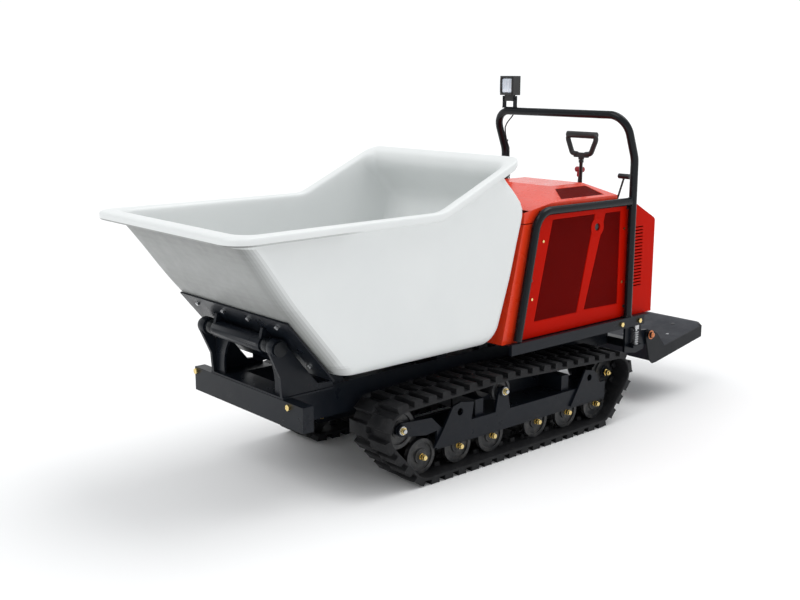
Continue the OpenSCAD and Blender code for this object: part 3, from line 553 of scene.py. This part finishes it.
def rim_loop(out, drop):
    """The rim at share out of its overhang, drop below its top face."""
    halves = [lerp(inner, outer, out) for inner, outer in zip(HALF_WALL, HALF_RIM)]
    x_front = lerp(1.4588 - WALL_TUCK, 1.5144, out)
    x_rear = lerp(0.118, 0.069, out)
    loop = plan_loop(WALL_FRONT_Z, WALL_REAR_Z, x_front, x_rear, halves,
                     lerp(0.072, 0.092, out), lerp(0.056, 0.060, out))
    return [(x, y, TUB_RIM_Z + rise_at(x) - drop) for x, y, z in loop]


def smooth_share(v, low, high):
    t = min(1.0, max(0.0, (v - low) / (high - low)))
    return t * t * (3 - 2 * t)


def offset_loop(loop, d):
    """The loop moved outwards by d in plan, along the mean of its two edges' normals."""
    n = len(loop)
    out = []
    for i in range(n):
        a, b, c = (Vector(loop[(i + k) % n]) for k in (-1, 0, 1))
        e = Vector((c.x - a.x, c.y - a.y, 0))
        normal = Vector((e.y, -e.x, 0))
        if normal.length > 1e-9:
            normal.normalize()
        out.append((b.x + d * normal.x, b.y + d * normal.y, b.z))
    return out


# (share of the overhang, drop below the top face) from the outer wall round to the inner one
RIM_PROFILE = [(0.0, 0.041), (0.04, 0.0375), (0.12, 0.0360), (0.80, 0.0355), (0.94, 0.0338),
               (1.0, 0.0275), (1.0, 0.0110), (0.97, 0.0050), (0.89, 0.0015), (0.76, 0.0),
               (0.28, 0.0), (0.10, 0.0015), (-0.04, 0.007), (-0.13, 0.017), (-0.17, 0.032)]


def tub_bottom(inset, turns=8):
    """Loops of the rounded edge between the floor and the walls."""
    r = EDGE_FILLET - inset
    angles = [0.5 * math.pi * k / turns for k in range(turns + 1)]
    return [offset_loop(tub_loop(r * (1 - math.cos(a)) / WALL_DEPTH, inset),
                        -r * (1 - math.sin(a))) for a in angles]


def tub_floor(inset):
    """Flat rings between the floor's middle and its rounded edge."""
    centre_x = 0.55
    ring = tub_bottom(inset)[0]
    return [[(lerp(centre_x, x, share), y * share, z) for x, y, z in ring]
            for share in (0.02, 0.35, 0.70)]


def tub_wall(inset, steps=22):
    return [tub_loop(lerp(EDGE_FILLET / WALL_DEPTH, 0.985, k / steps), inset)
            for k in range(1, steps + 1)]


def tub_skin(inset):
    return tub_floor(inset) + tub_bottom(inset) + tub_wall(inset)


def make_tub():
    rim = [rim_loop(out, drop) for out, drop in RIM_PROFILE]
    b = Build()
    b.ring_stack(tub_skin(0.0) + rim + tub_skin(WALL_THICKNESS)[::-1],
                 cap_first=True, cap_last=True)
    tub = b.add("tub", "tub", "tub_white", 60)
    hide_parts("tub_shell")


# ------------------------------------------------------------------ tracks

IDLER = (0.697, 0.256)
SPROCKET = (-0.648, 0.240)
CARRIER = (0.106, 0.304)
WHEEL_X = [0.576, 0.366, 0.165, -0.126, -0.335, -0.540]
WHEEL_Z = 0.112
WHEEL_R = 0.077
LOOP = [(*IDLER, 0.084), (*CARRIER, 0.055), (*SPROCKET, 0.080),
        (WHEEL_X[5], WHEEL_Z, WHEEL_R), (WHEEL_X[0], WHEEL_Z, WHEEL_R)]
LINKS = 43
BELT_HALF = 0.115
LUG_EDGE = 0.1148
TRACK_Y = 0.360


class Belt:
    """The belt's inner face as arcs and straight runs, measured by its length."""

    def __init__(self):
        self.parts = []
        n = len(LOOP)

        def leave(i):
            (x0, z0, r0), (x1, z1, r1) = LOOP[i % n], LOOP[(i + 1) % n]
            d = math.hypot(x1 - x0, z1 - z0)
            return math.atan2(z1 - z0, x1 - x0) - math.acos((r0 - r1) / d)

        for i in range(n):
            x, z, r = LOOP[i]
            x1, z1, r1 = LOOP[(i + 1) % n]
            a0 = leave(i - 1)
            turn = (leave(i) - a0) % (2 * math.pi)
            d = math.hypot(x1 - x, z1 - z)
            run = math.sqrt(d * d - (r - r1) ** 2)
            self.parts.append((x, z, r, a0, turn, run))
        self.length = sum(r * turn + run for x, z, r, a0, turn, run in self.parts)

    def at(self, s, h):
        s %= self.length
        for x, z, r, a0, turn, run in self.parts:
            if s <= r * turn:
                a = a0 + s / r
                return x + (r + h) * math.cos(a), z + (r + h) * math.sin(a)
            s -= r * turn
            if s <= run:
                a = a0 + turn
                return (x + (r + h) * math.cos(a) - s * math.sin(a),
                        z + (r + h) * math.sin(a) + s * math.cos(a))
            s -= run
        return self.at(0, h)

    def stations(self, arc_step=0.018, run_step=0.06):
        """Lengths at which the belt's skin is sampled: fine on arcs, coarse on runs."""
        out = []
        s = 0.0
        for x, z, r, a0, turn, run in self.parts:
            n = max(4, math.ceil(r * turn / arc_step))
            out += [s + r * turn * k / n for k in range(n)]
            s += r * turn
            n = max(2, math.ceil(run / run_step))
            out += [s + run * k / n for k in range(n)]
            s += run
        return out


BELT = Belt()


def carcass(b, side):
    """Belt skin: a flat band with rounded edges."""
    w = BELT_HALF
    t = 0.013
    profile = [(-w + 0.004, 0.0), (-w + 0.001, 0.0012), (-w, 0.004), (-w, t - 0.004),
               (-w + 0.0012, t - 0.001), (-w + 0.004, t), (0.0, t), (w - 0.004, t),
               (w - 0.0012, t - 0.001), (w, t - 0.004), (w, 0.004), (w - 0.001, 0.0012),
               (w - 0.004, 0.0)]
    profile += [(across, 0.0) for across in (w - 0.030, w - 0.033, w - 0.040, 0.045, 0.0, -0.045,
                                             -w + 0.040, -w + 0.033, -w + 0.030)]
    rings = []
    for s in BELT.stations():
        spots = [(y, BELT.at(s, h)) for y, h in profile]
        rings.append([(x, side * (TRACK_Y + y), z) for y, (x, z) in spots])
    base = len(b.v)
    for ring in rings:
        b.v.extend(ring)
    m, n = len(rings), len(profile)
    for i in range(m):
        here, ahead = base + i * n, base + (i + 1) % m * n
        for k in range(n):
            along_k = (k + 1) % n
            b.f.append((here + k, here + along_k, ahead + along_k, ahead + k))


def block_on_belt(b, side, s0, outline, layers):
    """A moulded block: an outline in (along, across), stacked through (height, grow) layers."""
    cx = sum(p[0] for p in outline) / len(outline)
    cy = sum(p[1] for p in outline) / len(outline)
    rings = []
    for h, grow in layers:
        ring = []
        for u, v in outline:
            du, dv = u - cx, v - cy
            length = math.hypot(du, dv)
            k = 1 + grow / max(length, 1e-6)
            x, z = BELT.at(s0 + cx + du * k, h)
            y = max(-LUG_EDGE, min(LUG_EDGE, cy + dv * k))
            ring.append((x, side * (TRACK_Y + y), z))
        rings.append(ring)
    b.ring_stack(rings, cap_first=False, cap_last=True)


def lug_outline(length, near, far, sign):
    """Footprint of one outer lug: wide at the belt's edge and stepped at the middle."""
    c = 0.006
    pts = [(0.0, near + c), (c, near), (length - c, near), (length, near + c),
           (length, lerp(near, far, 0.5)), (length, far - c), (length - c, far),
           (length * 0.52, far), (length * 0.40, far - 0.010), (c, far - 0.010),
           (0.0, far - 0.010 - c), (0.0, lerp(near, far, 0.45))]
    return [(u, sign * v) for u, v in pts]


def make_belt(side, name):
    b = Build()
    carcass(b, side)
    pitch = BELT.length / LINKS
    lug_len = pitch * 0.58
    layers = [(0.010, 0.004), (0.0135, 0.0025), (0.0165, 0.0006), (0.0225, 0.0), (0.0315, -0.0016),
              (0.0338, -0.0028), (0.0349, -0.0052)]
    guide_layers = [(0.003, 0.002), (-0.002, 0.0008), (-0.006, 0.0), (-0.0155, -0.0014),
                    (-0.0178, -0.003)]
    for k in range(LINKS):
        s = k * pitch
        block_on_belt(b, side, s, lug_outline(lug_len, LUG_EDGE, 0.006, 1), layers)
        block_on_belt(b, side, s + pitch / 2, lug_outline(lug_len, LUG_EDGE, 0.006, -1), layers)
        for y0 in (0.022, -0.038):
            box = [(0.006, y0), (0.030, y0), (0.034, y0 + 0.004), (0.034, y0 + 0.012),
                   (0.030, y0 + 0.016), (0.006, y0 + 0.016), (0.002, y0 + 0.012),
                   (0.002, y0 + 0.004)]
            block_on_belt(b, side, s, box, guide_layers)
    belt = b.add("belt_" + name, "chassis", "belt_rubber", 42)
    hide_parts("track_belt_" + name)


# ------------------------------------------------------------------ tubes

RAIL_R = 0.019
POST_X = -0.778
POST_Y = 0.419
DECK_Z = 0.494


def make_tubes():
    route = rounded_route(
        [(POST_X, POST_Y, DECK_Z + 0.006), (POST_X, POST_Y, 1.262), (-0.700, POST_Y, 1.466),
         (-0.700, -POST_Y, 1.466), (POST_X, -POST_Y, 1.262), (POST_X, -POST_Y, DECK_Z + 0.006)],
        [0.120, 0.095, 0.095, 0.120], 12)
    b = Build()
    b.ring_stack(tube_rings(route, RAIL_R, (1, 0.02, -0.36)), cap_first=True, cap_last=True)
    for s in (1, -1):
        foot = [(POST_X - 0.026, 0.398), (POST_X + 0.026, 0.398), (POST_X + 0.026, 0.4235),
                (POST_X - 0.026, 0.4235)]
        b.ring_stack([[(x, s * y, z) for x, y in foot] for z in (DECK_Z, DECK_Z + 0.007)],
                     cap_first=True, cap_last=True)
        weld = [Vector((POST_X, s * POST_Y, DECK_Z + up)) for up in (0.0065, 0.010, 0.014)]
        b.ring_stack(tube_rings(weld, lambda t: lerp(0.0235, 0.0192, t), (1, 0, 0)))
    hoop = b.add("handrail", "chassis", "tube_black", 50)
    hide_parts("handrail_hoop")
    b = Build()
    for s in (1, -1):
        route = rounded_route([(POST_X + RAIL_R - 0.005, s * POST_Y, 1.062),
                               (-0.112, s * POST_Y, 1.067), (0.004, s * POST_Y, 0.505)], [0.095], 16)
        b.ring_stack(tube_rings(route, RAIL_R, (0, 1, 0)), cap_first=True, cap_last=True)
        weld = [Vector((POST_X + x, s * POST_Y, 1.062)) for x in (0.0165, 0.0205, 0.0245)]
        b.ring_stack(tube_rings(weld, lambda t: lerp(0.0235, 0.0192, t), (0, 1, 0)))
    guards = b.add("guard_tubes", "chassis", "tube_black", 50)
    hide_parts("side_guards")


# ------------------------------------------------------------------ details


def inset_outline(points, d):
    """A convex outline with every edge moved inwards by d."""
    cx = sum(p[0] for p in points) / len(points)
    cz = sum(p[1] for p in points) / len(points)
    edges = []
    n = len(points)
    for i in range(n):
        (x0, z0), (x1, z1) = points[i], points[(i + 1) % n]
        length = math.hypot(x1 - x0, z1 - z0)
        nx, nz = (z1 - z0) / length, (x0 - x1) / length
        if (cx - x0) * nx + (cz - z0) * nz < 0:
            nx, nz = -nx, -nz
        edges.append((nx, nz, nx * x0 + nz * z0 + d))
    out = []
    for i in range(n):
        (a, b, e), (c, f, g) = edges[i - 1], edges[i]
        det = a * f - b * c
        out.append(((e * f - b * g) / det, (a * g - e * c) / det))
    return out


def round_outline(points, r, steps=5):
    """A convex outline with its corners rounded to radius r."""
    out = []
    n = len(points)
    for i in range(n):
        a, b, c = (Vector(points[(i + k) % n]) for k in (-1, 0, 1))
        u, v = (a - b).normalized(), (c - b).normalized()
        reach = r / math.tan(u.angle(v) / 2)
        p, q = b + u * reach, b + v * reach
        for k in range(steps + 1):
            t = k / steps
            out.append(tuple((1 - t) ** 2 * p + 2 * t * (1 - t) * b + t * t * q))
    return out


def side_plate(b, outline, y_inner, y_outer, side, edge=0.0006):
    """A flat plate seen from the side, with a small rounded edge on its outer face."""
    layers = [(0.0, y_inner), (0.0, y_outer - edge), (edge, y_outer)]
    rings = []
    for shrink, y in layers:
        rings.append([(x, side * y, z) for x, z in (inset_outline(outline, shrink) if shrink
                                                    else outline)])
    b.ring_stack(rings, cap_first=True, cap_last=True)


def turned(b, at, axis, profile, sides=32, open_ends=False):
    """A turned piece: (distance along the axis, radius) pairs."""
    axis = Vector(axis)
    other = Vector((0, 0, 1)) if abs(axis.z) < 0.9 else Vector((1, 0, 0))
    m = axis.cross(other).normalized()
    n = axis.cross(m)
    rings = []
    for h, r in profile:
        mid = Vector(at) + axis * h
        rings.append([mid + r * (math.cos(a) * m + math.sin(a) * n)
                      for a in (2 * math.pi * k / sides for k in range(sides))])
    if open_ends:
        b.ring_stack(rings + rings[:1])
    else:
        b.ring_stack(rings, cap_first=True, cap_last=True)


PANEL_FACE = 0.397
PANEL_MESH = [[(-0.234, 1.022), (-0.528, 1.022), (-0.418, 0.568), (-0.124, 0.568)],
              [(-0.605, 1.020), (-0.717, 1.020), (-0.719, 0.567), (-0.469, 0.573)]]
LATCH = (-0.548, 0.958)


def make_panel_details(side, name):
    b = Build()
    for outline in PANEL_MESH:
        side_plate(b, inset_outline(outline, 0.003), PANEL_FACE - 0.0029, PANEL_FACE - 0.0012, side)
    b.add("panel_mesh_" + name, "chassis", "panel_mesh", 30)
    b = Build()
    at = (LATCH[0], side * PANEL_FACE, LATCH[1])
    turned(b, at, (0, side, 0), [(-0.009, 0.0176), (-0.009, 0.0176), (-0.006, 0.0172),
                                 (-0.005, 0.0150), (-0.0048, 0.004)])
    b.add("latch_cup_" + name, "chassis", "lever_black", 30)
    b = Build()
    turned(b, at, (0, side, 0), [(-0.0010, 0.0182), (-0.0010, 0.046), (0.0004, 0.046),
                                 (0.0010, 0.045), (0.0010, 0.0195), (0.0002, 0.0183)], 48,
           open_ends=True)
    b.add("latch_pad_" + name, "chassis", "panel_red", 30)
    b = Build()
    for x, z in ((-0.060, 0.60), (-0.100, 0.76), (-0.128, 0.93), (-0.770, 0.55), (-0.770, 1.03)):
        turned(b, (x, side * PANEL_FACE, z), (0, side, 0),
               [(0.0002, 0.0085), (0.0012, 0.0085), (0.0022, 0.0070), (0.0038, 0.0045), (0.0042, 0.001)])
    b.add("panel_screws_" + name, "chassis", "lever_black", 30)


HOOD_HALF = 0.398
HOOD_SIDE_Z = 1.097
HOOD_SLOPE = (1.138 - HOOD_SIDE_Z) / (HOOD_HALF - 0.188)
HOOD_MESH = [(-0.317, 0.368), (-0.433, 0.230), (-0.657, 0.227), (-0.621, 0.371)]


def make_hood_mesh(side, name):
    outline = inset_outline(HOOD_MESH, 0.003)
    rings = []
    for lift in (0.0002, 0.0012):
        rings.append([(x, side * y, HOOD_SIDE_Z - 0.002 + (HOOD_HALF - y) * HOOD_SLOPE + lift)
                      for x, y in outline])
    b = Build()
    b.ring_stack(rings, cap_first=True, cap_last=True)
    b.add("hood_mesh_" + name, "hood", "hood_mesh", 30)


STEP_PIVOT = (-0.991, 0.372)


def make_step_details(side, name):
    b = Build()
    at = (STEP_PIVOT[0], side * 0.418, STEP_PIVOT[1])
    turned(b, at, (0, side, 0), [(-0.0098, 0.0225), (-0.0072, 0.0225), (-0.0068, 0.0215),
                                 (-0.0066, 0.018)])
    turned(b, at, (0, side, 0), [(0.0002, 0.0135), (0.0030, 0.0130), (0.0060, 0.0105),
                                 (0.0078, 0.0060), (0.0082, 0.001)])
    b.add("pivot_cap_" + name, "chassis", "copper", 40)


LAMP_FACE_X = -0.674
LAMP_Y = -0.320
LAMP_Z = (1.556, 1.632)


def make_lamp_details():
    def frame_ring(x, grow):
        half, low, high = 0.036 + grow, LAMP_Z[0] - grow, LAMP_Z[1] + grow
        outline = [(-half, low), (half, low), (half, high), (-half, high)]
        return [(x, LAMP_Y + y, z) for y, z in round_outline(outline, 0.010 + max(0, grow))]

    b = Build()
    b.ring_stack([frame_ring(x, grow) for x, grow in
                  ((LAMP_FACE_X + 0.0002, 0.0085), (LAMP_FACE_X + 0.003, 0.0080),
                   (LAMP_FACE_X + 0.0042, 0.0060), (LAMP_FACE_X + 0.0042, 0.0010),
                   (LAMP_FACE_X + 0.001, -0.0015), (LAMP_FACE_X - 0.0025, -0.0020))])
    b.add("lamp_bezel", "lamp", "lamp_black", 40)
    b = Build()
    b.ring_stack([frame_ring(LAMP_FACE_X + x, grow) for x, grow in
                  ((-0.0028, -0.0022), (-0.0005, -0.005), (0.0008, -0.011), (0.0012, -0.020))],
                 cap_first=True, cap_last=True)
    b.add("lamp_glass", "lamp", "lens_glass", 40)


def make_grips():
    b = Build()
    length = 0.054
    r = 0.0145
    profile = [(0.0, 0.002), (0.0006, r * 0.55), (0.0030, r * 0.86), (0.0070, r)]
    profile += [(length - h, radius) for h, radius in reversed(profile)]
    turned(b, (-0.929, -0.062, 1.173), (0, 1, 0), profile)
    turned(b, (-0.929, -0.0375, 1.136), (0, 0, 1), [(0.0, 0.0118), (0.002, 0.0126), (0.030, 0.0126)])
    b.add("dump_grip", "dump_lever_body", "lever_red", 50)


def make_sticker():
    b = Build()
    outline = [(-0.119, 0.305), (0.055, 0.305), (0.055, 0.331), (-0.119, 0.331)]
    side_plate(b, outline, 0.27405, 0.2746, 1, 0.0002)
    b.add("blank_label", "chassis", "label_pale", 30)


AXLE_HEAD_Y = 0.446


def make_axle_washers(side, name):
    b = Build()
    for x, z in (IDLER, CARRIER):
        turned(b, (x, side * AXLE_HEAD_Y, z), (0, side, 0),
               [(0.0002, 0.0185), (0.0022, 0.0185), (0.0028, 0.0178), (0.0029, 0.0165)])
        turned(b, (x, side * (AXLE_HEAD_Y + 0.010), z), (0, side, 0),
               [(0.0001, 0.0100), (0.0070, 0.0095), (0.0082, 0.0080), (0.0084, 0.001)])
    b.add("axle_washers_" + name, "chassis", "steel_bright", 30)


def make_sprocket_nut(side, name):
    b = Build()
    turned(b, (SPROCKET[0], side * 0.404, SPROCKET[1]), (0, side, 0),
           [(0.0002, 0.0185), (0.0022, 0.0185), (0.0030, 0.0140), (0.0150, 0.0140),
            (0.0165, 0.0125), (0.0166, 0.0085), (0.0225, 0.0080), (0.0230, 0.001)], 6)
    b.add("sprocket_nut_" + name, "sprocket_" + name + "_body", "bolt_zinc", 20)


TREAD_FOOT = Vector((-1.140, 0, 0.282))
TREAD_ALONG = Vector((-0.350, 0, 0.062))
# name, look, radius, and (share of the tread's length, y) of each spot
TREAD_PIECES = [
    # the holes are black discs: painted shade standing for the dark seen through them
    ("tread_hole_shades", "lever_black", 0.011,
     [(0.25, 0.24), (0.25, -0.24), (0.80, 0.24), (0.80, -0.24)]),
    ("tread_screws", "steel_bright", 0.008,
     [(0.12, 0.10), (0.12, -0.10), (0.42, 0.30), (0.62, 0.0)]),
]


def make_tread_details():
    """Drain holes, drawn as black discs of painted shade, and screws in the step's tread."""
    up = TREAD_ALONG.cross(Vector((0, 1, 0))).normalized()
    up = up if up.z > 0 else -up
    for name, slot, radius, spots in TREAD_PIECES:
        b = Build()
        for share, y in spots:
            at = TREAD_FOOT + TREAD_ALONG * share + Vector((0, y, 0))
            turned(b, at, up, [(0.0002, radius), (0.0010, radius * 0.96), (0.0016, radius * 0.6),
                               (0.0017, 0.001)], 20)
        b.add(name, "step", slot, 30)


def make_details():
    for side, name in ((1, "left"), (-1, "right")):
        make_panel_details(side, name)
        make_hood_mesh(side, name)
        make_step_details(side, name)
        make_axle_washers(side, name)
        make_sprocket_nut(side, name)
    make_lamp_details()
    make_grips()
    make_sticker()
    make_tread_details()


# ------------------------------------------------------------------ stage


def make_floor():
    mesh = bpy.data.meshes.new("floor")
    size = 40
    mesh.from_pydata([(-size, -size, 0), (size, -size, 0), (size, size, 0), (-size, size, 0)],
                     [], [(0, 1, 2, 3)])
    floor = bpy.data.objects.new("floor", mesh)
    bpy.context.scene.collection.objects.link(floor)
    n = Nodes("floor_pale")
    n.color(n.mix(n.noise(0.7, 2), (0.90, 0.90, 0.90), (0.92, 0.92, 0.92)))
    n.set(Roughness=0.75, Specular_IOR_Level=0.2)
    mesh.materials.append(n.mat)


def make_world():
    """A pale sky, a little dimmer overhead and low down ahead of the machine."""
    world = bpy.data.worlds.new("world")
    bpy.context.scene.world = world
    world.use_nodes = True
    tree = world.node_tree
    back = tree.nodes["Background"]
    coord = tree.nodes.new("ShaderNodeTexCoord")
    split = tree.nodes.new("ShaderNodeSeparateXYZ")
    tree.links.new(coord.outputs["Generated"], split.inputs[0])

    def smooth_range(axis, start, end, low, high):
        m = tree.nodes.new("ShaderNodeMapRange")
        m.interpolation_type = "SMOOTHSTEP"
        for key, value in (("From Min", start), ("From Max", end), ("To Min", low),
                           ("To Max", high)):
            m.inputs[key].default_value = value
        tree.links.new(split.outputs[axis], m.inputs["Value"])
        return m.outputs["Result"]

    def combine(operation, a, b):
        m = tree.nodes.new("ShaderNodeMath")
        m.operation = operation
        if isinstance(a, float):
            m.inputs[0].default_value = a
        else:
            tree.links.new(a, m.inputs[0])
        tree.links.new(b, m.inputs[1])
        return m.outputs[0]

    overhead = smooth_range(2, 0.02, 0.55, 1.06, 0.68)
    ahead = smooth_range(0, 0.15, 0.80, 0.0, 0.50)
    low_down = smooth_range(2, 0.15, 0.45, 1.0, 0.0)
    left_over = combine("SUBTRACT", 1.0, combine("MULTIPLY", ahead, low_down))
    tree.links.new(combine("MULTIPLY", left_over, overhead), back.inputs["Strength"])
    back.inputs["Color"].default_value = (0.97, 0.985, 1.0, 1)
    bpy.context.scene.view_settings.view_transform = "Standard"


def sun(name, direction, strength, spread):
    data = bpy.data.lights.new(name, "SUN")
    data.energy = strength
    data.angle = math.radians(spread)
    light = bpy.data.objects.new(name, data)
    bpy.context.scene.collection.objects.link(light)
    light.rotation_euler = Vector(direction).to_track_quat("Z", "Y").to_euler()


def make_lights():
    sun("key_light", (-0.42, 0.14, 0.89), 1.15, 40)
    sun("fill_light", (0.62, -0.10, 0.78), 0.95, 40)


# ------------------------------------------------------------------ build

paint_nodes()
soften_nodes()
make_tub()
make_belt(1, "left")
make_belt(-1, "right")
make_tubes()
make_details()
make_floor()
make_world()
make_lights()
